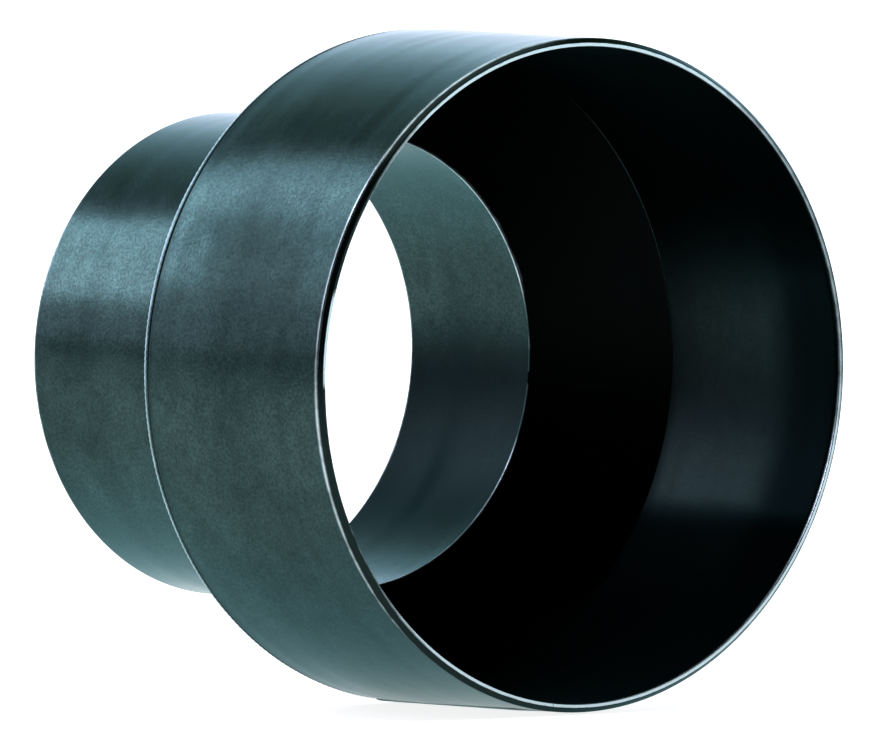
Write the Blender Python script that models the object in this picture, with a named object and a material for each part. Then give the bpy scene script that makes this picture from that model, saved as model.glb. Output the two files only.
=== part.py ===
"""Concentric reducer for round sheet-steel flue or duct pipe, 160 mm down to 116 mm.

Three rolled shells of 2 mm sheet, a large collar, a cone and a small collar, are closed by
longitudinal butt welds and joined to each other by two outside girth welds.

The pipe axis is horizontal, along X. The large mouth faces +X and the small mouth faces -X.
The part lies on its large collar: the lowest line of that collar is at Z = 0, and the origin
is under the middle of the part's length.

Profiles are drawn as (depth, radius). Depth is measured from the large mouth towards the
small one, radius from the pipe axis.
"""

from math import cos, pi, radians, sin, tan

import bmesh
import bpy
from mathutils import Vector

# ---------------------------------------------------------------- driving dimensions, metres
WALL = 0.0020
LARGE_OUTER_DIAMETER = 0.1600
SMALL_OUTER_DIAMETER = 0.1160
TOTAL_LENGTH = 0.1388
LARGE_COLLAR_LENGTH = 0.0650
CONE_INNER_START = 0.0650       # depth at which the cone leaves the large collar's inside wall
CONE_HALF_ANGLE = radians(43.5)
CONE_HOLE_RADIUS = 0.0540       # the cone's lip, which stands inside the small collar
MOUTH_BEVEL_DEPTH = 0.0012      # outside bevel on the large mouth, along the axis
MOUTH_BEVEL_WIDTH = 0.0010      # and across the sheet, which leaves a 1 mm flat rim
CALIBRATED_LENGTH = 0.0115      # mouth pressed to size, where the next pipe pushes in
CALIBRATION_DROP = 0.0004       # how much smaller in radius the mouth is than the body
CALIBRATION_TAPER = 0.0180
EDGE_ROUND = 0.0002             # deburred corners of the cut sheet
GAP = 0.0003                    # clearance between neighbouring solids

# ---------------------------------------------------------------- welds, metres
SEAM_SLOT = 0.0026              # width of the split in a rolled shell
SEAM_CROWN = 0.00025            # height of a longitudinal seam's crown above the sheet
LARGE_GIRTH_LEG = 0.0016        # how far a girth weld runs along the axis, down the cone
SMALL_GIRTH_LEG = 0.0050
GIRTH_CROWN = 0.0009            # bulge of a girth weld beyond its flat throat

# Direction of each longitudinal seam, in degrees round the axis: 0 is +Y and 90 is +Z.
LARGE_SEAM_ANGLE = -97.0
CONE_SEAM_ANGLE = -6.0
SMALL_SEAM_ANGLE = -78.0

# ---------------------------------------------------------------- mesh fineness
SEGMENTS = 120                  # flats round a ring
CROWN_STEPS = 4                 # flats across a weld's crown

# ---------------------------------------------------------------- worked-out dimensions
LARGE_RADIUS = LARGE_OUTER_DIAMETER / 2
LARGE_MOUTH_RADIUS = LARGE_RADIUS - CALIBRATION_DROP
SMALL_RADIUS = SMALL_OUTER_DIAMETER / 2
CONE_SLOPE = tan(CONE_HALF_ANGLE)
CONE_NORMAL = Vector((sin(CONE_HALF_ANGLE), cos(CONE_HALF_ANGLE)))
CONE_TOP_RADIUS = LARGE_RADIUS - WALL - GAP
SMALL_COLLAR_START = (
    CONE_INNER_START
    + (CONE_TOP_RADIUS - (SMALL_RADIUS - WALL)) / CONE_SLOPE
    + (WALL + GAP) / sin(CONE_HALF_ANGLE)
)


# ---------------------------------------------------------------- helpers
def empty_scene():
    for old in list(bpy.data.objects):
        bpy.data.objects.remove(old, do_unlink=True)


def painted_steel(name, colour, roughness):
    material = bpy.data.materials.new(name)
    material.use_nodes = True
    shader = material.node_tree.nodes["Principled BSDF"]
    shader.inputs["Base Color"].default_value = (*colour, 1.0)
    shader.inputs["Roughness"].default_value = roughness
    shader.inputs["Metallic"].default_value = 0.0
    return material


def place(depth, radius, sideways=0.0, angle=0.0):
    """A point of the part's profile, turned about the X axis to angle, in degrees."""
    turn = radians(angle)
    outwards = Vector((0.0, cos(turn), sin(turn)))
    along_ring = Vector((0.0, -sin(turn), cos(turn)))
    return Vector((TOTAL_LENGTH / 2 - depth, 0, 0)) + outwards * radius + along_ring * sideways


def finish_object(name, mesh_data, material, axis):
    """Turn a bmesh into a smooth-shaded object that hangs on the pipe axis."""
    bmesh.ops.remove_doubles(mesh_data, verts=mesh_data.verts, dist=1e-6)
    bmesh.ops.recalc_face_normals(mesh_data, faces=mesh_data.faces)
    mesh = bpy.data.meshes.new(name)
    mesh_data.to_mesh(mesh)
    mesh_data.free()
    mesh.shade_smooth()
    mesh.set_sharp_from_angle(angle=radians(30.0))
    mesh.materials.append(material)
    item = bpy.data.objects.new(name, mesh)
    bpy.context.collection.objects.link(item)
    item.parent = axis
    return item


def turned_ring(name, profile, material, axis):
    """Spin a closed (depth, radius) outline once round the pipe axis."""
    mesh_data = bmesh.new()
    corners = [mesh_data.verts.new(place(depth, radius)) for depth, radius in profile]
    sides = [
        mesh_data.edges.new((corner, corners[(index + 1) % len(corners)]))
        for index, corner in enumerate(corners)
    ]
    bmesh.ops.spin(
        mesh_data,
        geom=corners + sides,
        cent=(0.0, 0.0, 0.0),
        axis=(1.0, 0.0, 0.0),
        angle=2 * pi,
        steps=SEGMENTS,
        use_merge=True,
    )
    return finish_object(name, mesh_data, material, axis)


def round_edges(item):
    bevel = item.modifiers.new("deburred_edges", "BEVEL")
    bevel.width = EDGE_ROUND
    bevel.segments = 2
    bevel.limit_method = "ANGLE"
    bevel.angle_limit = radians(35.0)


def split_along(item, angle, inner_radius, outer_radius, axis):
    """Cut the slot of a longitudinal seam through one side of a ring."""
    reach = 0.004
    mesh_data = bmesh.new()
    corners = []
    for depth in (-reach, TOTAL_LENGTH + reach):
        for radius in (inner_radius, outer_radius):
            for side in (-SEAM_SLOT / 2, SEAM_SLOT / 2):
                corners.append(mesh_data.verts.new(place(depth, radius, side, angle)))
    bmesh.ops.convex_hull(mesh_data, input=corners)
    cutter = finish_object(item.name + "_slot_cutter", mesh_data, item.data.materials[0], axis)
    cutter.hide_render = True
    cutter.display_type = "WIRE"
    cut = item.modifiers.new("seam_slot", "BOOLEAN")
    cut.operation = "DIFFERENCE"
    cut.solver = "EXACT"
    cut.object = cutter


def seam_section():
    """Outline of a longitudinal seam: (sideways, height above the sheet's inside)."""
    half_width = SEAM_SLOT / 2 - GAP
    outline = []
    for foot, way in ((WALL, 1.0), (0.0, -1.0)):
        for step in range(CROWN_STEPS + 1):
            swing = pi * step / CROWN_STEPS
            outline.append((way * half_width * cos(swing), foot + way * SEAM_CROWN * sin(swing)))
    return outline


def seam_weld(name, angle, near_end, far_end, material, axis):
    """A straight seam bar. near_end and far_end give (depth, radius) for a height."""
    mesh_data = bmesh.new()
    loops = []
    for end in (near_end, far_end):
        loops.append(
            [mesh_data.verts.new(place(*end(height), side, angle)) for side, height in seam_section()]
        )
    count = len(loops[0])
    for index in range(count):
        after = (index + 1) % count
        mesh_data.faces.new((loops[0][index], loops[0][after], loops[1][after], loops[1][index]))
    mesh_data.faces.new(loops[0])
    mesh_data.faces.new(reversed(loops[1]))
    return finish_object(name, mesh_data, material, axis)


def crown(start, end, rise):
    """Points of a shallow arc from start to end, bulging to the left of that direction."""
    start, end = Vector(start), Vector(end)
    chord = end - start
    bulge = Vector((-chord.y, chord.x)).normalized() * rise
    points = []
    for step in range(CROWN_STEPS + 1):
        share = step / CROWN_STEPS
        points.append(tuple(start + chord * share + bulge * sin(pi * share)))
    return points


# ---------------------------------------------------------------- the cone's two faces
def cone_point(distance, height):
    """A point of the cone's sheet: distance down the slope, height above its inside face."""
    down_slope = Vector((cos(CONE_HALF_ANGLE), -sin(CONE_HALF_ANGLE)))
    return Vector((CONE_INNER_START, CONE_TOP_RADIUS)) + down_slope * distance + CONE_NORMAL * height


def cone_large_end(height):
    """Where the sheet at this height meets the turned edge inside the large collar."""
    return cone_point(height / CONE_SLOPE, height)


def cone_small_end(height):
    """The lip: the sheet is cut square to itself."""
    length = (CONE_TOP_RADIUS - CONE_HOLE_RADIUS) / sin(CONE_HALF_ANGLE)
    return cone_point(length, height)


def cone_outside_radius(depth):
    """Radius of the cone's outside face, lifted by the clearance."""
    lift = (WALL + GAP) / cos(CONE_HALF_ANGLE)
    return CONE_TOP_RADIUS + lift - (depth - CONE_INNER_START) * CONE_SLOPE


def cone_seam_start(height):
    """The seam's crowns stop with the sheet, clear of the collar and the girth weld."""
    in_sheet = min(max(height, 0.0), WALL)
    return cone_large_end(in_sheet) + CONE_NORMAL * (height - in_sheet)


# ---------------------------------------------------------------- sub-parts
def build_large_collar(material, axis):
    barrel = [
        (CALIBRATED_LENGTH, LARGE_MOUTH_RADIUS),
        (CALIBRATED_LENGTH + CALIBRATION_TAPER, LARGE_RADIUS),
        (LARGE_COLLAR_LENGTH, LARGE_RADIUS),
    ]
    rim = [
        (0.0, LARGE_MOUTH_RADIUS - WALL),
        (0.0, LARGE_MOUTH_RADIUS - MOUTH_BEVEL_WIDTH),
        (MOUTH_BEVEL_DEPTH, LARGE_MOUTH_RADIUS),
    ]
    inside = [(depth, radius - WALL) for depth, radius in reversed(barrel)]
    collar = turned_ring("large_collar", rim + barrel + inside, material, axis)
    round_edges(collar)
    split_along(collar, LARGE_SEAM_ANGLE, LARGE_RADIUS - 3 * WALL, LARGE_RADIUS + WALL, axis)


def build_reducing_cone(material, axis):
    profile = [cone_large_end(0.0), cone_large_end(WALL), cone_small_end(WALL), cone_small_end(0.0)]
    cone = turned_ring("reducing_cone", profile, material, axis)
    split_along(cone, CONE_SEAM_ANGLE, CONE_HOLE_RADIUS - 3 * WALL, LARGE_RADIUS, axis)


def build_small_collar(material, axis):
    inner_radius = SMALL_RADIUS - WALL
    profile = [
        (SMALL_COLLAR_START, SMALL_RADIUS),
        (TOTAL_LENGTH, SMALL_RADIUS),
        (TOTAL_LENGTH, inner_radius),
        (SMALL_COLLAR_START, inner_radius),
    ]
    collar = turned_ring("small_collar", profile, material, axis)
    round_edges(collar)
    split_along(collar, SMALL_SEAM_ANGLE, inner_radius - WALL, SMALL_RADIUS + WALL, axis)


def build_large_girth_weld(material, axis):
    """Corner weld over the large collar's cut end and the cone's upper edge."""
    start = LARGE_COLLAR_LENGTH + GAP
    root_radius = CONE_TOP_RADIUS + GAP
    knee = CONE_INNER_START + (cone_outside_radius(CONE_INNER_START) - root_radius) / CONE_SLOPE
    toe = knee + LARGE_GIRTH_LEG
    heel = (toe - GAP, cone_outside_radius(toe - GAP))
    cap = crown((start, LARGE_RADIUS - GAP), (toe, cone_outside_radius(toe) + GAP), GIRTH_CROWN)
    profile = [(start, root_radius), *cap, heel, (knee, root_radius)]
    turned_ring("large_girth_weld", profile, material, axis)


def build_small_girth_weld(material, axis):
    """Fillet in the groove between the cone's outside face and the small collar's end."""
    start = SMALL_COLLAR_START - GAP
    toe = start - SMALL_GIRTH_LEG
    heel = (toe + GAP, cone_outside_radius(toe + GAP))
    cap = crown((toe, cone_outside_radius(toe) + GAP), (start, SMALL_RADIUS + GAP), GIRTH_CROWN)
    profile = [(start, cone_outside_radius(start)), heel, *cap]
    turned_ring("small_girth_weld", profile, material, axis)


def build_large_collar_seam(material, axis):
    """The seam's near end follows the mouth's bevel."""
    mouth_inner = LARGE_MOUTH_RADIUS - WALL
    body_inner = LARGE_RADIUS - WALL
    bevel_slope = MOUTH_BEVEL_DEPTH / MOUTH_BEVEL_WIDTH

    def bevelled_end(height):
        above_flat = height - (WALL - MOUTH_BEVEL_WIDTH)
        return max(0.0, above_flat * bevel_slope), mouth_inner + height

    seam_weld(
        "large_collar_seam_weld",
        LARGE_SEAM_ANGLE,
        bevelled_end,
        lambda height: (LARGE_COLLAR_LENGTH, body_inner + height),
        material,
        axis,
    )


def build_cone_seam(material, axis):
    seam_weld("cone_seam_weld", CONE_SEAM_ANGLE, cone_seam_start, cone_small_end, material, axis)


def build_small_collar_seam(material, axis):
    inner_radius = SMALL_RADIUS - WALL
    seam_weld(
        "small_collar_seam_weld",
        SMALL_SEAM_ANGLE,
        lambda height: (SMALL_COLLAR_START, inner_radius + height),
        lambda height: (TOTAL_LENGTH, inner_radius + height),
        material,
        axis,
    )


def main():
    empty_scene()
    axis = bpy.data.objects.new("pipe_axis", None)
    axis.location = (0.0, 0.0, LARGE_RADIUS)
    bpy.context.collection.objects.link(axis)

    shell = painted_steel("shell_paint", (0.050, 0.075, 0.082), 0.38)
    bead = painted_steel("weld_paint", (0.060, 0.082, 0.088), 0.45)

    build_large_collar(shell, axis)
    build_reducing_cone(shell, axis)
    build_small_collar(shell, axis)
    build_large_girth_weld(bead, axis)
    build_small_girth_weld(bead, axis)
    build_large_collar_seam(bead, axis)
    build_cone_seam(bead, axis)
    build_small_collar_seam(bead, axis)


main()
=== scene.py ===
"""Looks of the concentric reducer: dressed shells, weld beads, paint, light and camera."""

from math import ceil, cos, pi, radians, sin, tan

import bpy
import numpy as np
from mathutils import Euler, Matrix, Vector


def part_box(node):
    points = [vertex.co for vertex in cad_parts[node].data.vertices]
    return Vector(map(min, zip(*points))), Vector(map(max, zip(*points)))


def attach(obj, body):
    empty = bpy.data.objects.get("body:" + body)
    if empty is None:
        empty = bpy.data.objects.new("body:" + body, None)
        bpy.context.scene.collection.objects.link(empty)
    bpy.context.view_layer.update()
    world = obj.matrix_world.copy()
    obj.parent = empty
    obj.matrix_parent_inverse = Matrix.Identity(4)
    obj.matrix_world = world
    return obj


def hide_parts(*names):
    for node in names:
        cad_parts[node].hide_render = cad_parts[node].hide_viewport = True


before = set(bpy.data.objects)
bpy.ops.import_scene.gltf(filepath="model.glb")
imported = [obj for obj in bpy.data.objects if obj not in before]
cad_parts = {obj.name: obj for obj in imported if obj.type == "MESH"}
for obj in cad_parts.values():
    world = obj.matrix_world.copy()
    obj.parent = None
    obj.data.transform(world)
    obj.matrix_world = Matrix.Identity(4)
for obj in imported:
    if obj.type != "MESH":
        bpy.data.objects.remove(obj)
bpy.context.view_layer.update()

# ---------------------------------------------------------------- sizes read from the frame
BODY = "root"
collar_low, collar_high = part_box("large_collar")
small_low, small_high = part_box("small_collar")
cone_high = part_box("reducing_cone")[1]

MOUTH_X = collar_high.x
AXIS_Z = (collar_low.z + collar_high.z) / 2
LARGE_RADIUS = (collar_high.z - collar_low.z) / 2
SMALL_RADIUS = (small_high.z - small_low.z) / 2
TOTAL_LENGTH = collar_high.x - small_low.x
COLLAR_END = collar_high.x - collar_low.x
SMALL_START = MOUTH_X - small_high.x
CONE_START = MOUTH_X - cone_high.x

# ---------------------------------------------------------------- sizes shared with part.py
WALL = 0.0020
MOUTH_BEVEL_DEPTH = 0.0012
MOUTH_BEVEL_WIDTH = 0.0010
MOUTH_DROP = 0.0004
CONE_ANGLE = radians(43.5)
LIP_RADIUS = 0.0540
LARGE_SEAM_ANGLE = -97.0
CONE_SEAM_ANGLE = -6.0
SMALL_SEAM_ANGLE = -78.0
SEAM_SLOT = 0.0026

# ---------------------------------------------------------------- sizes that only show
MOUTH_SQUEEZE = 0.00025         # half of how far the large mouth's sides are pressed in
SEAM_BEAD_START = 0.0025        # the large seam's bead starts this far behind the mouth
SLOT_SHUT = 0.0008              # its slot is shut from the mouth to here
SLOT_OPEN = 0.0035              # and fully open from here on
HAIRLINE = 0.00001              # half of what is left of a shut slot
SLOT_MARGIN = 0.0002            # the bead's waist is let into each side of the slot by this
BEAD_OVER_INNER = 0.00014       # the large seam lies lower by the shell's own unevenness
CONE_FIT = 0.00006              # the cone is let into the collar's uneven wall
SEAM_CROWN = (0.0042, 0.00028)  # width and height of a longitudinal seam's crown
SEAM_ROOT = (0.0030, 0.00006)   # and of its root, inside the pipe
SEAM_NECK = 0.0003              # the crown and root narrow to the slot's width in this depth
SEAM_INSET = 0.0001             # a seam stops this far short of a cut end

# ---------------------------------------------------------------- fineness
RING_STEPS = 384
STRAIGHT_STEP = 0.0010          # longest edge along a straight stretch of a profile
ARC_STEPS = 7                   # edges round one rounded corner
HOLD = 0.00006                  # support loop beside a rounded corner
SLOT_HOLD = 0.0003              # support loop beside a slot, as a share of the ring
BEAD_STEPS = 1440
SEAM_STEP = 0.00028


# ================================================================ geometry helpers
def smoothstep(low, high, value):
    """0 at low and 1 at high, smooth between them. low may be the larger of the two."""
    share = np.clip((value - low) / (high - low), 0.0, 1.0)
    return share * share * (3.0 - 2.0 * share)


def bump(value, centre, width):
    """1 at centre, and nearly 0 two widths away from it."""
    return np.exp(-(((value - centre) / width) ** 2))


def rounded_outline(corners):
    """Closed (depth, radius) outline from (depth, radius, rounding) corners."""
    count = len(corners)
    points = []
    for index in range(count):
        here = Vector(corners[index][:2])
        before = Vector(corners[index - 1][:2])
        after = Vector(corners[(index + 1) % count][:2])
        rounding = corners[index][2]
        to_before, to_after = (before - here).normalized(), (after - here).normalized()
        if rounding <= 0.0:
            points.append(here)
            continue
        half = to_before.angle(to_after) / 2
        cut = rounding / tan(half)
        start, end = here + to_before * cut, here + to_after * cut
        centre = here + (to_before + to_after).normalized() * (rounding / sin(half))
        points.append(start + to_before * HOLD)
        for step in range(ARC_STEPS + 1):
            share = step / ARC_STEPS
            points.append(centre + (start - centre).slerp(end - centre, share) * rounding)
        points.append(end + to_after * HOLD)
    filled = []
    for index, point in enumerate(points):
        after = points[(index + 1) % len(points)]
        pieces = max(1, ceil((after - point).length / STRAIGHT_STEP))
        filled.extend(point.lerp(after, piece / pieces) for piece in range(pieces))
    return np.array([tuple(point) for point in filled])


def to_world(depth, radius, angle, sideways=0.0):
    """World points of profile places turned round the pipe axis, angle in radians."""
    x = MOUTH_X - depth
    y = radius * np.cos(angle) - sideways * np.sin(angle)
    z = AXIS_Z + radius * np.sin(angle) + sideways * np.cos(angle)
    return np.stack(np.broadcast_arrays(x, y, z), axis=-1)


def grid_object(name, points, closed_rows, marks=None, caps=False):
    """A mesh from a grid of points, rows by columns. Columns always close into a ring."""
    rows, columns, _ = points.shape
    row_count = rows if closed_rows else rows - 1
    row, column = np.meshgrid(np.arange(row_count), np.arange(columns), indexing="ij")
    next_row, next_column = (row + 1) % rows, (column + 1) % columns
    quads = np.stack(
        [
            row * columns + column,
            next_row * columns + column,
            next_row * columns + next_column,
            row * columns + next_column,
        ],
        axis=-1,
    ).reshape(-1, 4)
    mesh = bpy.data.meshes.new(name)
    corners, sizes = quads.ravel(), [4] * len(quads)
    if caps and not closed_rows:
        first, last = np.arange(columns), (rows - 1) * columns + np.arange(columns)[::-1]
        corners = np.concatenate([corners, first, last])
        sizes += [columns, columns]
    mesh.vertices.add(rows * columns)
    mesh.vertices.foreach_set("co", np.ascontiguousarray(points, dtype=np.float32).ravel())
    mesh.loops.add(len(corners))
    mesh.loops.foreach_set("vertex_index", corners.astype(np.int32))
    mesh.polygons.add(len(sizes))
    starts = np.concatenate([[0], np.cumsum(sizes)[:-1]]).astype(np.int32)
    mesh.polygons.foreach_set("loop_start", starts)
    mesh.update(calc_edges=True)
    mesh.validate()
    for mark, values in (marks or {}).items():
        layer = mesh.attributes.new(mark, "FLOAT", "POINT")
        layer.data.foreach_set("value", np.ascontiguousarray(values, dtype=np.float32).ravel())
    item = bpy.data.objects.new(name, mesh)
    bpy.context.scene.collection.objects.link(item)
    face_outwards(item)
    mesh.shade_smooth()
    if caps:
        for cap in (-2, -1):
            mesh.polygons[cap].use_smooth = False
    return item


def face_outwards(item):
    """Turn every face round if the closed mesh is inside out."""
    mesh = item.data
    mesh.calc_loop_triangles()
    corners = np.zeros(len(mesh.vertices) * 3)
    mesh.vertices.foreach_get("co", corners)
    corners = corners.reshape(-1, 3)
    corners -= corners.mean(axis=0)
    triangles = np.zeros(len(mesh.loop_triangles) * 3, dtype=np.int32)
    mesh.loop_triangles.foreach_get("vertices", triangles)
    a, b, c = corners[triangles.reshape(-1, 3)].transpose(1, 0, 2)
    if (a * np.cross(b, c)).sum() < 0.0:
        mesh.flip_normals()


def settle(item, node, material):
    """The piece stands for a CAD node, rides on the part and carries its finish."""
    item.data.materials.append(material)
    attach(item, BODY)
    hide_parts(node)
    return item


# ================================================================ the rolled shells
def rolled_shell(name, corners, seam_angle, shape, wear_and_glint, inner_shade, shade_and_tone):
    """A rolled shell: a closed outline swept round the axis, split along its seam."""
    outline = rounded_outline(corners)
    depth, radius = outline[:, 0][None, :], outline[:, 1][None, :]
    half_slot = HAIRLINE + (SEAM_SLOT / 2 - SLOT_MARGIN) * smoothstep(SLOT_SHUT, SLOT_OPEN, depth)
    between = np.linspace(SLOT_HOLD, 1.0 - SLOT_HOLD, RING_STEPS - 2)
    share = np.concatenate([[0.0], between, [1.0]])[:, None]
    edge = np.arcsin(half_slot / radius)
    angle = radians(seam_angle) + edge + share * (2 * pi - 2 * edge)
    lift = shape(depth, radius, angle)
    highest = max(0.0, lift.max())      # nothing stands out past the nominal size
    points = to_world(depth, radius + lift - highest, angle)
    shown = np.ones_like(angle)
    # marks: bare edges partly with painted highlights, painted shade on inner walls, and painted
    # shade or tone
    marks = {
        "wear_and_glint": wear_and_glint(depth, radius, angle) * shown,
        "inner_shade": inner_shade(depth, radius, angle) * shown,
        "shade_and_tone": shade_and_tone(depth, radius, angle) * shown,
    }
    return grid_object(name, points, False, marks, caps=True)


def near_corners(depth, radius, corners, reach):
    """1 at any of the named cut edges, fading to 0 over reach."""
    nearest = np.full(np.broadcast(depth, radius).shape, 1e9)
    for corner_depth, corner_radius in corners:
        nearest = np.minimum(nearest, np.hypot(depth - corner_depth, radius - corner_radius))
    return np.clip(1.0 - nearest / reach, 0.0, 1.0)


def large_collar_shape(depth, radius, angle):
    """Faint rings left by rolling, the pressed-in mouth and the pull of the girth weld."""
    rings = (
        (0.0120, 0.0030, -0.000030),
        (0.0165, 0.0022, 0.000020),
        (0.0345, 0.0040, -0.000035),
        (0.0465, 0.0050, 0.000025),
    )
    lift = np.zeros_like(angle)
    for place, width, height in rings:
        fade = 0.6 + 0.4 * np.sin(3.0 * angle + 40.0 * place / WALL)
        lift = lift + height * bump(depth, place, width) * fade
    squeeze = MOUTH_SQUEEZE * (1.0 + np.cos(2.0 * angle))
    lift = lift - (MOUTH_DROP + squeeze) * smoothstep(0.0520, 0.0030, depth)
    lift = lift - 0.00008 * smoothstep(COLLAR_END - 0.006, COLLAR_END - 0.001, depth)
    return lift + 0.00006 * np.sin(2.0 * angle + 0.6)


def small_collar_shape(depth, radius, angle):
    """The pull of the girth weld, one faint uneven ring, and a shell not quite round."""
    lift = -0.00010 * smoothstep(SMALL_START + 0.008, SMALL_START, depth)
    lift = lift + 0.000030 * bump(depth, TOTAL_LENGTH - 0.014, 0.004) * np.sin(angle * 2.0)
    lift = lift + 0.00006 * np.sin(2.0 * angle + 2.1)
    return lift * np.ones_like(angle)


def no_shape(depth, radius, angle):
    return np.zeros_like(angle)


def large_collar_wear_and_glint(depth, radius, angle):
    """Bare metal on the rim, partly real wear and partly painted highlight: its inner edge, its
    flat and, at the upper left, its outer edge.
    """
    inner = LARGE_RADIUS - WALL
    on_inner = near_corners(depth, radius, [(0.0, inner)], 0.00060)
    on_outer = near_corners(depth, radius, [(MOUTH_BEVEL_DEPTH, LARGE_RADIUS)], 0.00050)
    on_flat = smoothstep(0.0003, 0.0, depth) * smoothstep(0.00100, 0.00055, radius - inner)
    # painted highlight: the outer edge's bare line is brighter at the upper left
    upper_left = smoothstep(-0.2, 0.9, np.cos(angle - radians(150.0)))
    # painted highlight: the inner edge's bare line is weaker on the near side
    near_side = smoothstep(-0.45, -0.92, np.cos(angle))
    # painted highlight: a bright bare spot on the flat at the left, where a lamp's glint falls
    painted_glint_spot = smoothstep(0.985, 0.996, np.cos(angle - radians(172.0)))
    # the painted edge highlight is dimmer on this side
    less_glint = 0.62 * smoothstep(0.70, 0.96, np.cos(angle - radians(24.0)))
    edge = on_inner * (1.0 - 0.65 * near_side)
    flat = on_flat * (1.0 - near_side + painted_glint_spot)
    bare_and_glint = np.maximum(edge, flat) * (1.0 - less_glint)
    return np.maximum(bare_and_glint, on_outer * (0.18 + 0.50 * upper_left))


def large_collar_inner_shade(depth, radius, angle):
    """Painted shade: a near-black lining on the inner wall, lifted a little on the far side where
    a painted lit patch shows.
    """
    # painted light: the lining is lifted where light reaches the far inner wall
    painted_light_amount = smoothstep(0.014, 0.026, depth) * smoothstep(0.74, 0.95, np.cos(angle + 0.16))
    shade = (1.0 - 0.19 * painted_light_amount) * smoothstep(0.0002, 0.0010, depth)
    return np.where(radius < LARGE_RADIUS - WALL * 0.6, shade, 0.0)


def large_collar_painted_light(depth, radius, angle):
    """Painted shade and light: darker rings outside where dark reflections fall, a dark bevel, a
    dark rear edge with a lighter band before it, and gloss taken off the lining where the inside
    lies in shade.
    """
    outside = np.where(radius > LARGE_RADIUS - WALL * 0.5, 1.0, 0.0)
    # painted shade: dark rings that stand in for the wall's darker reflections
    rings = 0.26 * bump(depth, 0.0155, 0.0020) + 0.20 * bump(depth, 0.0360, 0.0030)
    broken = 0.55 + 0.45 * np.sin(5.0 * angle + 1.3) * np.sin(11.0 * angle)
    # painted shade on the bevel and at the rear edge; the band before the rear edge is a painted
    # sheen
    bevel_shade = smoothstep(MOUTH_BEVEL_DEPTH + 0.0004, MOUTH_BEVEL_DEPTH - 0.0002, depth)
    rear_edge_shade = bump(depth, COLLAR_END - 0.0002, 0.0006)
    painted_sheen_band = bump(depth, COLLAR_END - 0.0045, 0.0022)
    # painted shade inside: the lining loses its gloss above, below, on the near side and near the
    # mouth
    above = smoothstep(0.08, 0.58, np.sin(angle))
    below = smoothstep(0.40, 0.54, -np.sin(angle))
    near_side = smoothstep(0.60, 0.30, np.cos(angle))
    near_the_mouth = smoothstep(0.032, 0.014, depth)
    round_the_ring = np.maximum(np.maximum(above, below), near_side)
    matt_shade = np.maximum(0.95 * round_the_ring, 0.30 * near_the_mouth)
    outer_painted_light = outside * (rings * broken + 0.8 * rear_edge_shade - 0.25 * painted_sheen_band)
    return outer_painted_light + 0.9 * bevel_shade + (1.0 - outside) * (1.0 - bevel_shade) * matt_shade


def build_large_collar(paint):
    inner = LARGE_RADIUS - WALL
    corners = [
        (0.0, LARGE_RADIUS - MOUTH_BEVEL_WIDTH, 0.0004),
        (MOUTH_BEVEL_DEPTH, LARGE_RADIUS, 0.0003),
        (COLLAR_END, LARGE_RADIUS, 0.0006),
        (COLLAR_END, inner, 0.0003),
        (0.0, inner, 0.00018),
    ]
    shell = rolled_shell(
        "large_collar_shell",
        corners,
        LARGE_SEAM_ANGLE,
        large_collar_shape,
        large_collar_wear_and_glint,
        large_collar_inner_shade,
        large_collar_painted_light,
    )
    return settle(shell, "large_collar", paint)


def cone_point(distance, height):
    """A point of the cone's sheet: distance down its slope, height above its inside face."""
    top = LARGE_RADIUS - WALL - CONE_FIT
    depth = CONE_START + distance * cos(CONE_ANGLE) + height * sin(CONE_ANGLE)
    return depth, top - distance * sin(CONE_ANGLE) + height * cos(CONE_ANGLE)


def cone_length():
    return (LARGE_RADIUS - WALL - LIP_RADIUS) / sin(CONE_ANGLE)


def build_cone(paint):
    corners = [
        (*cone_point(0.0, 0.0), 0.00008),
        (*cone_point(WALL / tan(CONE_ANGLE), WALL), 0.0003),
        (*cone_point(cone_length(), WALL), 0.0004),
        (*cone_point(cone_length(), 0.0), 0.0008),
    ]

    lip = cone_point(cone_length(), 0.0)

    def wear_and_glint(depth, radius, angle):
        # bare lip edge, partly real wear and partly a painted highlight along the hole's edge,
        # dimmer on one side
        painted_light_amount = 0.70 + 0.16 * np.sin(2.0 * angle) + 0.10 * np.sin(23.0 * angle)
        less_glint_side = 1.0 - 0.65 * smoothstep(0.90, 0.985, np.cos(angle + radians(4.0)))
        return near_corners(depth, radius, [lip], 0.0012) * painted_light_amount * less_glint_side

    # painted shade: the cone's inner face takes the near-black lining, less of it at the lip
    def inner_shade(depth, radius, angle):
        height = (depth - CONE_START) * sin(CONE_ANGLE)
        height = height + (radius - LARGE_RADIUS + WALL) * cos(CONE_ANGLE)
        shade = 1.0 - near_corners(depth, radius, [lip], 0.0011)
        return np.where(height < WALL / 2, np.minimum(1.0, 1.4 * shade), 0.0)

    shell = rolled_shell(
        "reducing_cone_shell",
        corners,
        CONE_SEAM_ANGLE,
        no_shape,
        wear_and_glint,
        inner_shade,
        no_shape,
    )
    return settle(shell, "reducing_cone", paint)


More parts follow.
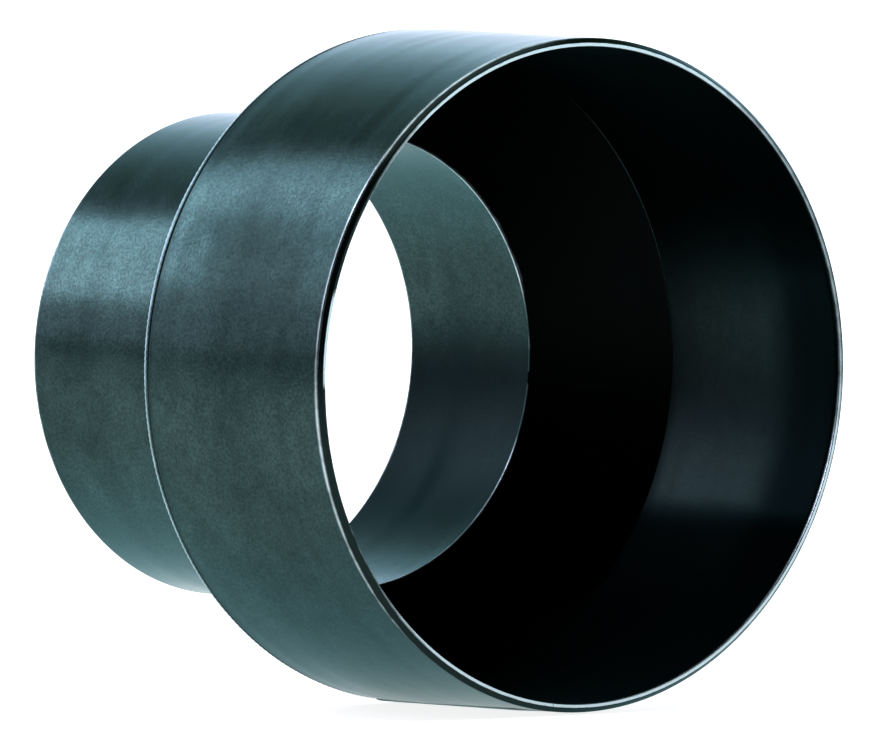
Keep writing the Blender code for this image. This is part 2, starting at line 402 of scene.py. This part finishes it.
def build_small_collar(paint):
    inner = SMALL_RADIUS - WALL
    corners = [
        (SMALL_START, SMALL_RADIUS, 0.0004),
        (TOTAL_LENGTH, SMALL_RADIUS, 0.0006),
        (TOTAL_LENGTH, inner, 0.0006),
        (SMALL_START, inner, 0.0003),
    ]
    edges = [(TOTAL_LENGTH, SMALL_RADIUS), (TOTAL_LENGTH, inner)]

    # painted shade: a near-black patch on one side of the inner wall, where a lamp's reflection
    # would show
    def inner_shade(depth, radius, angle):
        painted_shade_patch = 0.88 * smoothstep(0.80, 0.96, np.cos(angle + radians(24.0)))
        return np.where(radius < SMALL_RADIUS - WALL / 2, painted_shade_patch, 0.0)

    def shade_and_tone(depth, radius, angle):
        return 0.35 * bump(depth, TOTAL_LENGTH - 0.020, 0.004) * (0.6 + 0.4 * np.sin(7.0 * angle))

    shell = rolled_shell(
        "small_collar_shell",
        corners,
        SMALL_SEAM_ANGLE,
        small_collar_shape,
        lambda depth, radius, angle: near_corners(depth, radius, edges, 0.0009),
        inner_shade,
        shade_and_tone,
    )
    return settle(shell, "small_collar", paint)


# ================================================================ the weld beads
def girth_bead(name, node, centre, crown_radius, first, last, foot, ripple, paint):
    """A bead round the pipe: a rippled crown swept from one toe to the other, and a sunk foot.

    The crown is an arc about centre, from first to last degrees: 90 is outwards, and 0 is along
    the pipe, away from the large mouth. ripple is the number of ripples round the ring.
    """
    across = 16
    angle = np.linspace(0.0, 2 * pi, BEAD_STEPS, endpoint=False)[:, None]
    share = np.linspace(0.0, 1.0, across)[None, :]
    swing = radians(first) + radians(last - first) * share
    phase = angle * ripple - 2.2 * np.sin(pi * share)
    uneven = 0.6 * np.sin(angle * 7.0 + 1.0) + 0.4 * np.sin(angle * 17.0)
    dip = np.sin(pi * share) * (0.00006 * (1.0 - np.sin(phase)) + 0.00006 * (1.0 - uneven))
    reach = crown_radius - dip
    depth = centre[0] + reach * np.cos(swing)
    radius = centre[1] + reach * np.sin(swing)
    foot_depth = np.full((BEAD_STEPS, 1), foot[0])
    foot_radius = np.full((BEAD_STEPS, 1), foot[1])
    section_depth = np.concatenate([depth, foot_depth], axis=1)
    section_radius = np.concatenate([radius, foot_radius], axis=1)
    points = to_world(section_depth, section_radius, angle)
    zeros = np.zeros(points.shape[:2])
    toe = zeros + np.concatenate([bump(share, 0.0, 0.06), [[0.0]]], axis=1)
    # bare crown, partly real wear and partly a painted highlight line along the bead
    brushed_and_glint = zeros + np.concatenate([0.62 * bump(share, 0.30, 0.16), [[0.0]]], axis=1)
    bead = grid_object(name, points, True, {"wear_and_glint": brushed_and_glint, "inner_shade": zeros, "shade_and_tone": toe})
    return settle(bead, node, paint)


def build_girth_beads(paint):
    girth_bead(
        "large_girth_bead",
        "large_girth_weld",
        centre=(COLLAR_END + 0.0006, LARGE_RADIUS - 0.0032),
        crown_radius=0.0030,
        first=104.0,
        last=-30.0,
        foot=(COLLAR_END + 0.0006, LARGE_RADIUS - WALL + 0.0002),
        ripple=330,
        paint=paint,
    )
    cone_top = LARGE_RADIUS - WALL + WALL / cos(CONE_ANGLE)
    cone_outside = cone_top - (SMALL_START - CONE_START) * tan(CONE_ANGLE)
    girth_bead(
        "small_girth_bead",
        "small_girth_weld",
        centre=(SMALL_START - 0.0004, SMALL_RADIUS - 0.0016),
        crown_radius=0.0034,
        first=172.0,
        last=58.0,
        foot=(SMALL_START + 0.0002, cone_outside - 0.0006),
        ripple=250,
        paint=paint,
    )


def seam_section():
    """Outline across a butt seam: (sideways, height above the sheet's inside face)."""
    waist, steps, sunk = SEAM_SLOT / 2, 10, 0.00003
    outline = []
    for (width, rise), foot, way in ((SEAM_CROWN, WALL, 1.0), (SEAM_ROOT, 0.0, -1.0)):
        outline.append((way * waist, foot - way * SEAM_NECK))
        for step in range(steps + 1):
            swing = pi * step / steps
            level = foot + way * (rise * sin(swing) - sunk)
            outline.append((way * width / 2 * cos(swing), level))
        outline.append((-way * waist, foot - way * SEAM_NECK))
    return np.array(outline)


def straight_seam(name, node, angle, near_end, far_end, seed, root_shade, paint):
    """A rippled butt seam between two ends, each a function of height in the sheet.

    It is ground flush at its near end. seed shifts the way it wanders, and root_shade is how
    dark its root is, inside the pipe.
    """
    section = seam_section()
    side, height = section[:, 0][None, :], section[:, 1][None, :]
    near = np.array([near_end(value) for value in section[:, 1]])
    far = np.array([far_end(value) for value in section[:, 1]])
    length = float(np.hypot(*(far.mean(axis=0) - near.mean(axis=0))))
    steps = max(8, int(length / SEAM_STEP))
    share = np.linspace(0.0, 1.0, steps)[:, None]
    travel = share * length
    proud = np.maximum(height - WALL, 0.0) + np.maximum(-height, 0.0)
    ripple = 0.30 * np.sin(travel / 0.0011 * 2 * pi - 900.0 * np.abs(side))
    wander = 0.00012 * np.sin(travel / 0.017 * 2 * pi + seed)
    wander = wander + 0.00006 * np.sin(travel / 0.006 * 2 * pi)
    away = np.where(height > WALL / 2, 1.0, -1.0)
    ground_flush = 1.0 - smoothstep(0.0010, 0.0120, travel)
    scale = np.where(proud > 0.00002, (ripple - ground_flush) * proud, 0.0) * away
    spot = near[None, :, :] + (far - near)[None, :, :] * share[..., None]
    lift = normal_of(near, far)
    spot = spot + lift[None, None, :] * scale[..., None]
    sideways = side + wander * np.where(np.abs(side) > SEAM_SLOT / 2 + 0.0001, 1.0, 0.0)
    points = to_world(spot[..., 0], spot[..., 1], radians(angle), sideways)
    zeros = np.zeros(points.shape[:2])
    # painted shade: the seam's root inside the pipe takes the near-black lining
    inner_shade_amount = zeros + np.where(height < WALL / 2, root_shade, 0.0)
    marks = {"wear_and_glint": zeros, "inner_shade": inner_shade_amount, "shade_and_tone": zeros}
    bead = grid_object(name, points, False, marks, caps=True)
    return settle(bead, node, paint)


def normal_of(near, far):
    """Unit direction out of the sheet, in (depth, radius)."""
    run = (far - near).mean(axis=0)
    normal = np.array([-run[1], run[0]]) / np.hypot(*run)
    return normal if normal[1] > 0 else -normal


def build_seams(paint):
    inner = LARGE_RADIUS - WALL - BEAD_OVER_INNER

    straight_seam(
        "large_collar_seam_bead",
        "large_collar_seam_weld",
        LARGE_SEAM_ANGLE,
        lambda height: (SEAM_BEAD_START, inner - MOUTH_DROP + height),
        lambda height: (COLLAR_END - SEAM_INSET, inner + height),
        seed=0.3,
        root_shade=1.0,
        paint=paint,
    )

    def lip_end(height):
        return cone_point(cone_length() - SEAM_INSET, height)

    def collar_end(height):
        kept = min(max(height, 0.0), WALL)
        depth, radius = cone_point(kept / tan(CONE_ANGLE) + SEAM_INSET, kept)
        extra = height - kept
        return depth + extra * sin(CONE_ANGLE), radius + extra * cos(CONE_ANGLE)

    straight_seam(
        "cone_seam_bead",
        "cone_seam_weld",
        CONE_SEAM_ANGLE,
        collar_end,
        lip_end,
        seed=1.7,
        root_shade=1.0,
        paint=paint,
    )

    small_inner = SMALL_RADIUS - WALL
    straight_seam(
        "small_collar_seam_bead",
        "small_collar_seam_weld",
        SMALL_SEAM_ANGLE,
        lambda height: (SMALL_START + SEAM_INSET, small_inner + height),
        lambda height: (TOTAL_LENGTH - 2 * SEAM_INSET, small_inner + height),
        seed=4.1,
        root_shade=0.0,
        paint=paint,
    )


# ================================================================ paint
SHELL_COLOUR = (0.0175, 0.0345, 0.0335)
WELD_COLOUR = (0.020, 0.036, 0.035)
# bare metal, also used for painted highlights on edges
WORN_METAL_AND_GLINT = (0.40, 0.50, 0.54)
# near-black, painted shade on inner walls
INNER_SHADE_COLOUR = (0.0004, 0.0007, 0.0007)
EDGE_TINT = (0.56, 0.76, 0.79, 1.0)     # colour of the gloss at a grazing angle
METAL_SHARE = 0.90                      # the paint holds metal flake and shines like it


class NodeKit:
    """Short calls for the shader nodes that the paint is made of."""

    def __init__(self, tree):
        self.nodes, self.links = tree.nodes, tree.links
        self.place = self.nodes.new("ShaderNodeTexCoord").outputs["Object"]

    def feed(self, socket, value):
        """Put a number, a colour or another node's output into a socket."""
        if isinstance(value, (int, float)):
            socket.default_value = value
        elif isinstance(value, tuple):
            socket.default_value = (*value, 1.0)
        else:
            self.links.new(value, socket)

    def noise(self, scale, detail, stretch=(1.0, 1.0, 1.0)):
        mapping = self.nodes.new("ShaderNodeMapping")
        mapping.inputs["Scale"].default_value = stretch
        self.links.new(self.place, mapping.inputs["Vector"])
        texture = self.nodes.new("ShaderNodeTexNoise")
        texture.inputs["Scale"].default_value = scale
        texture.inputs["Detail"].default_value = detail
        self.links.new(mapping.outputs["Vector"], texture.inputs["Vector"])
        return texture.outputs["Fac"]

    def ranged(self, value, low, high, to_low, to_high):
        node = self.nodes.new("ShaderNodeMapRange")
        node.inputs["From Min"].default_value = low
        node.inputs["From Max"].default_value = high
        node.inputs["To Min"].default_value = to_low
        node.inputs["To Max"].default_value = to_high
        self.links.new(value, node.inputs["Value"])
        return node.outputs["Result"]

    def math(self, operation, first, second):
        node = self.nodes.new("ShaderNodeMath")
        node.operation = operation
        self.feed(node.inputs[0], first)
        self.feed(node.inputs[1], second)
        return node.outputs["Value"]

    def blend(self, factor, first, second):
        node = self.nodes.new("ShaderNodeMix")
        node.data_type = "RGBA"
        self.links.new(factor, node.inputs["Factor"])
        self.feed(node.inputs[6], first)
        self.feed(node.inputs[7], second)
        return node.outputs[2]

    def scaled(self, value, factor):
        node = self.nodes.new("ShaderNodeVectorMath")
        node.operation = "SCALE"
        node.inputs["Scale"].default_value = factor
        self.links.new(value, node.inputs[0])
        return node.outputs["Vector"]

    def mark(self, attribute):
        node = self.nodes.new("ShaderNodeAttribute")
        node.attribute_name = attribute
        return node.outputs["Fac"]


def times(colour, factor):
    return tuple(channel * factor for channel in colour)


def satin_paint(name, colour, roughness, grain):
    """Satin heat-resistant paint, with painted shade and painted highlights where a mesh is
    marked.

    The marks give bare edges (partly real wear, partly painted highlights), a near-black lining
    (painted shade inside) and painted shade or light (darker paint, a lighter sheen, or gloss
    taken off the lining).
    """
    material = bpy.data.materials.new(name)
    material.use_nodes = True
    kit = NodeKit(material.node_tree)
    shader = kit.nodes["Principled BSDF"]
    fine = kit.noise(1500.0, 3.0)
    mottle = kit.noise(230.0, 3.0)
    cloud = kit.noise(38.0, 4.0)
    streak = kit.noise(260.0, 3.0, (1.0, 0.03, 0.03))
    # painted shade: the lining darkens the inner walls
    inner_shade_amount = kit.mark("inner_shade")
    matt_shade = kit.math("MULTIPLY", kit.mark("shade_and_tone"), inner_shade_amount)
    chips = kit.ranged(kit.noise(300.0, 4.0), 0.35, 0.60, 0.70, 1.0)
    bare_and_glint = kit.ranged(kit.math("MULTIPLY", kit.mark("wear_and_glint"), chips), 0.15, 0.55, 0.0, 1.0)

    spread = kit.ranged(cloud, 0.35, 0.65, 0.0, 1.0)
    patchy = kit.blend(spread, times(colour, 0.80), times(colour, 1.18))
    spread = kit.ranged(mottle, 0.35, 0.65, 0.0, 1.0)
    mottled = kit.blend(spread, kit.scaled(patchy, 0.86), kit.scaled(patchy, 1.12))
    spread = kit.ranged(fine, 0.36, 0.64, 0.0, 1.0)
    grained = kit.blend(spread, kit.scaled(mottled, 0.68), kit.scaled(mottled, 1.38))
    # painted shade and light: darker, or lighter, paint from the third mark
    painted_shading = kit.blend(kit.mark("shade_and_tone"), grained, times(colour, 0.35))
    inner_shaded = kit.blend(inner_shade_amount, painted_shading, INNER_SHADE_COLOUR)
    kit.feed(shader.inputs["Base Color"], kit.blend(bare_and_glint, inner_shaded, WORN_METAL_AND_GLINT))

    rough = kit.ranged(cloud, 0.3, 0.7, roughness - 0.02, roughness + 0.03)
    rough = kit.math("ADD", rough, kit.ranged(streak, 0.3, 0.7, -0.02, 0.02))
    rough = kit.math("ADD", rough, kit.ranged(inner_shade_amount, 0.0, 1.0, 0.0, 0.13))
    # painted shade: gloss taken off the lining where it lies in shade
    kit.feed(shader.inputs["Roughness"], kit.math("ADD", rough, kit.math("MULTIPLY", matt_shade, 0.55)))
    metal = kit.math("MAXIMUM", bare_and_glint, kit.ranged(matt_shade, 0.0, 0.5, METAL_SHARE, 1.0))
    kit.feed(shader.inputs["Metallic"], metal)
    shader.inputs["Specular IOR Level"].default_value = 0.3
    shader.inputs["Specular Tint"].default_value = EDGE_TINT
    shader.inputs["IOR"].default_value = 1.5

    height = kit.math("ADD", fine, kit.math("MULTIPLY", streak, 0.12))
    height = kit.math("ADD", height, kit.math("MULTIPLY", mottle, 0.9))
    relief = kit.nodes.new("ShaderNodeBump")
    relief.inputs["Strength"].default_value = grain
    relief.inputs["Distance"].default_value = 0.00012
    kit.feed(relief.inputs["Height"], height)
    kit.feed(shader.inputs["Normal"], relief.outputs["Normal"])
    return material


# ================================================================ studio
FLOOR_GLOW = 0.85
FLOOR_FADE = (0.25, 1.00)               # the glow fades out this far in front of the part
FLOOR_REACH = 80.0
SUN_STRENGTH = 1.6
SUN_WIDTH = 60.0                        # degrees, which leaves no hard shadow
WORLD_STRENGTH = 2.4
BACKWARDS = (-0.787, 0.615, 0.0)        # level direction away from the viewer
FRONT_LIGHT = (0.02, 0.02, 0.02)
LEFT_LIGHT = (0.085, 0.100, 0.115)
WALL_LIGHT = (0.96, 0.93, 1.10)
LIT = (1.0, 1.0, 1.0)
HALF_LIT = (0.55, 0.57, 0.53)
CEILING_SHARE = (0.060, 0.080, 0.0)
COOL = (0.99, 0.91, 1.06)
PALE_BLUE = (0.82, 0.95, 1.0)
WALL_STOPS = [(-0.1, FRONT_LIGHT), (0.22, LEFT_LIGHT), (0.38, LEFT_LIGHT), (0.72, WALL_LIGHT)]
HEIGHT_STOPS = [(0.38, LIT), (0.50, HALF_LIT), (0.590, HALF_LIT), (0.608, CEILING_SHARE)]

CAMERA_OFF_AXIS = 37.95                 # degrees
CAMERA_ABOVE = 2.80
CAMERA_LENS = 980.7                     # mm
CAMERA_DISTANCE = 5.6497
CAMERA_ASIDE = 0.032330                 # to the left, which frames the small end too
CAMERA_TARGET_DEPTH = 0.0027            # it aims at the axis, this far inside the mouth

# name, centre, width, height, lean, radiance, colour, turn
SOFT_BOXES = [
    ("rear_left_top_strip", (-0.45, -0.235, 0.495), 0.130, 0.190, 0.0, 6.8, COOL, 0.0),
    ("rear_left_low_strip", (-0.45, -0.255, 0.322), 0.080, 0.230, -48.0, 11.0, COOL, 0.0),
    ("rear_left_fill", (-0.46, -0.415, 0.360), 0.290, 0.480, 0.0, 1.8, COOL, 0.0),
    ("front_rim_panel", (1.60, 1.25, 0.18), 0.90, 0.90, 0.0, 1.35, PALE_BLUE, 218.0),
]


def soft_box(name, centre, width, height, lean, radiance, colour, turn):
    """An upright rectangular light, its side leaning towards -Y by lean degrees.

    It shines along +X, or that direction turned about Z by turn degrees.
    """
    light = bpy.data.lights.new(name, "AREA")
    light.shape = "RECTANGLE"
    light.size, light.size_y = width, height
    light.energy = radiance * pi * width * height
    light.color = colour
    item = bpy.data.objects.new(name, light)
    item.location = centre
    facing_forwards = Euler((radians(90.0), 0.0, radians(90.0) + pi)).to_matrix()
    leaning = Euler((radians(lean), 0.0, 0.0)).to_matrix()
    turned = Euler((0.0, 0.0, radians(turn))).to_matrix()
    item.rotation_euler = (turned @ leaning @ facing_forwards).to_euler()
    item.visible_camera = False
    bpy.context.scene.collection.objects.link(item)


def fade_out_in_front(material, shader):
    """The floor glows under and behind the part, and is dark in front of its mouth."""
    nodes, links = material.node_tree.nodes, material.node_tree.links
    place = nodes.new("ShaderNodeTexCoord").outputs["Object"]
    forwards = nodes.new("ShaderNodeVectorMath")
    forwards.operation = "DOT_PRODUCT"
    forwards.inputs[1].default_value = times(BACKWARDS, -1.0)
    links.new(place, forwards.inputs[0])
    glow = nodes.new("ShaderNodeMapRange")
    glow.inputs["From Min"].default_value = FLOOR_FADE[0]
    glow.inputs["From Max"].default_value = FLOOR_FADE[1]
    glow.inputs["To Min"].default_value = FLOOR_GLOW
    glow.inputs["To Max"].default_value = 0.0
    links.new(forwards.outputs["Value"], glow.inputs["Value"])
    links.new(glow.outputs["Result"], shader.inputs["Emission Strength"])


def build_floor():
    mesh = bpy.data.meshes.new("pale_floor")
    corners = [(-1, -1), (1, -1), (1, 1), (-1, 1)]
    mesh.from_pydata(
        [(x * FLOOR_REACH, y * FLOOR_REACH, 0.0) for x, y in corners], [], [(0, 1, 2, 3)]
    )
    floor = bpy.data.objects.new("pale_floor", mesh)
    bpy.context.scene.collection.objects.link(floor)
    material = bpy.data.materials.new("pale_floor")
    material.use_nodes = True
    shader = material.node_tree.nodes["Principled BSDF"]
    shader.inputs["Base Color"].default_value = (0.86, 0.86, 0.86, 1.0)
    shader.inputs["Roughness"].default_value = 1.0
    shader.inputs["Specular IOR Level"].default_value = 0.0
    shader.inputs["Emission Color"].default_value = (1.0, 1.0, 1.0, 1.0)
    fade_out_in_front(material, shader)
    mesh.materials.append(material)


def colour_ramp(nodes, links, value, low, high, stops):
    """Colours along a value that runs from low to high."""
    spread = nodes.new("ShaderNodeMapRange")
    spread.inputs["From Min"].default_value = low
    spread.inputs["From Max"].default_value = high
    links.new(value, spread.inputs["Value"])
    node = nodes.new("ShaderNodeValToRGB")
    node.color_ramp.interpolation = "EASE"
    elements = node.color_ramp.elements
    while len(elements) < len(stops):
        elements.new(0.5)
    for element, (stop, colour) in zip(elements, stops):
        element.position = (stop - low) / (high - low)
        element.color = (*colour, 1.0)
    links.new(spread.outputs["Result"], node.inputs["Fac"])
    return node.outputs["Color"]


def build_world():
    """A bright wall behind and to the right, a dimmer left, a dark front and ceiling."""
    world = bpy.data.worlds.new("studio")
    bpy.context.scene.world = world
    world.use_nodes = True
    nodes, links = world.node_tree.nodes, world.node_tree.links
    place = nodes.new("ShaderNodeTexCoord").outputs["Generated"]
    height = nodes.new("ShaderNodeSeparateXYZ")
    links.new(place, height.inputs["Vector"])
    facing = nodes.new("ShaderNodeVectorMath")
    facing.operation = "DOT_PRODUCT"
    facing.inputs[1].default_value = BACKWARDS
    links.new(place, facing.inputs[0])
    product = nodes.new("ShaderNodeMix")
    product.data_type = "RGBA"
    product.blend_type = "MULTIPLY"
    product.inputs["Factor"].default_value = 1.0
    wall = colour_ramp(nodes, links, facing.outputs["Value"], -1.0, 1.0, WALL_STOPS)
    links.new(wall, product.inputs[6])
    upwards = colour_ramp(nodes, links, height.outputs["Z"], 0.0, 1.0, HEIGHT_STOPS)
    links.new(upwards, product.inputs[7])
    sky = nodes["Background"]
    links.new(product.outputs[2], sky.inputs["Color"])
    sky.inputs["Strength"].default_value = WORLD_STRENGTH


def build_lights():
    """A wash from above, strips at the rear left for the highlights, a panel for the rim."""
    sun = bpy.data.lights.new("overhead_wash", "SUN")
    sun.energy = SUN_STRENGTH
    sun.angle = radians(SUN_WIDTH)
    item = bpy.data.objects.new("overhead_wash", sun)
    bpy.context.scene.collection.objects.link(item)
    for box in SOFT_BOXES:
        soft_box(*box)


def build_camera():
    """A very long lens, almost level with the part and well off the pipe axis."""
    off_axis, above = radians(CAMERA_OFF_AXIS), radians(CAMERA_ABOVE)
    back = Vector((cos(above) * cos(off_axis), -cos(above) * sin(off_axis), sin(above)))
    right = Vector((sin(off_axis), cos(off_axis), 0.0))
    camera = bpy.data.cameras.new("camera")
    camera.sensor_width = 36.0
    camera.lens = CAMERA_LENS
    camera.clip_start, camera.clip_end = 0.1, 200.0
    item = bpy.data.objects.new("camera", camera)
    target = Vector((MOUTH_X - CAMERA_TARGET_DEPTH, 0.0, AXIS_Z))
    item.location = target + back * CAMERA_DISTANCE - right * CAMERA_ASIDE
    item.rotation_mode = "QUATERNION"
    item.rotation_quaternion = (-back).to_track_quat("-Z", "Y")
    bpy.context.scene.collection.objects.link(item)
    bpy.context.scene.camera = item


build_camera()
build_world()
build_lights()
build_floor()

shell_paint = satin_paint("shell_paint", SHELL_COLOUR, roughness=0.22, grain=0.16)
weld_paint = satin_paint("weld_paint", WELD_COLOUR, roughness=0.26, grain=0.14)
build_large_collar(shell_paint)
build_cone(shell_paint)
build_small_collar(shell_paint)
build_girth_beads(weld_paint)
build_seams(weld_paint)

bpy.context.scene.view_settings.view_transform = "Standard"
